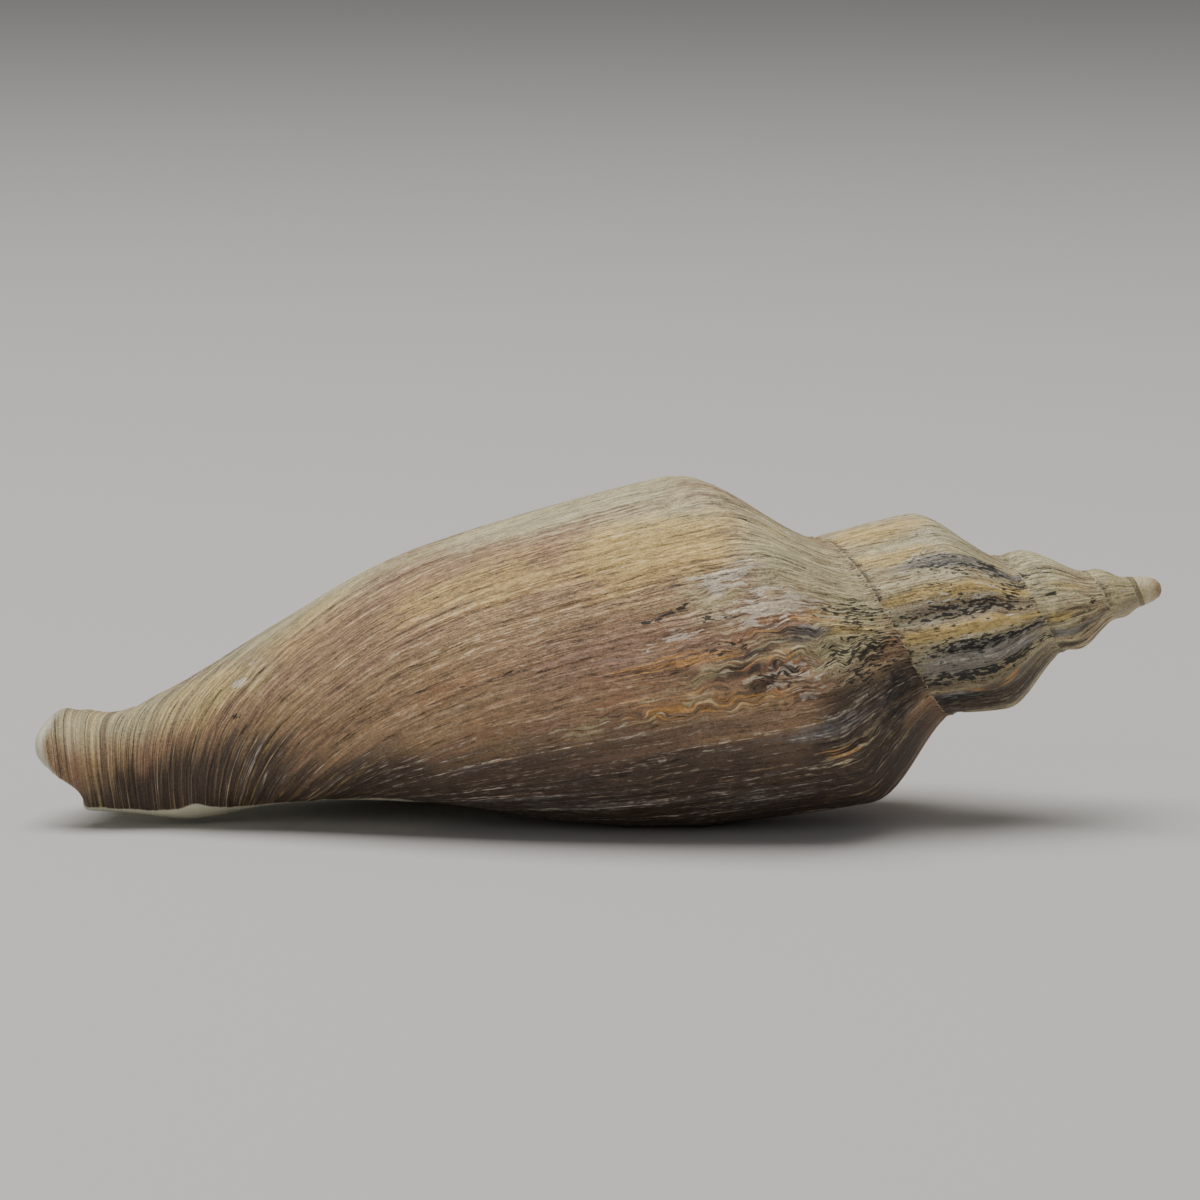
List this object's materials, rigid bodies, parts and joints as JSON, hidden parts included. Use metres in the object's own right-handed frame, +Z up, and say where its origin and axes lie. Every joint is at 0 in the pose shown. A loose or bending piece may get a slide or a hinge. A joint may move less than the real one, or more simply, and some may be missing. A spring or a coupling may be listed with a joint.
{
  "type": "volute seashell",
  "caption": "Large spindle-shaped volute seashell with a stepped spire, low shoulders and a wide open canal, lying on its mouth with worn, flaking coloured layers.",
  "frame": {"origin": "on the surface that the shell lies on, under the middle of its bounding box", "axes": "+X towards the spire's tip, -X towards the open canal, +Z up; the shell lies on its mouth, with the lip on the +Y side"},
  "size_m": [0.1496, 0.053, 0.0459],
  "materials": {
    "worn_shell": "worn satin"
  },
  "bodies": {
    "root": {"shell": "worn_shell"}
  },
  "joints": []
}
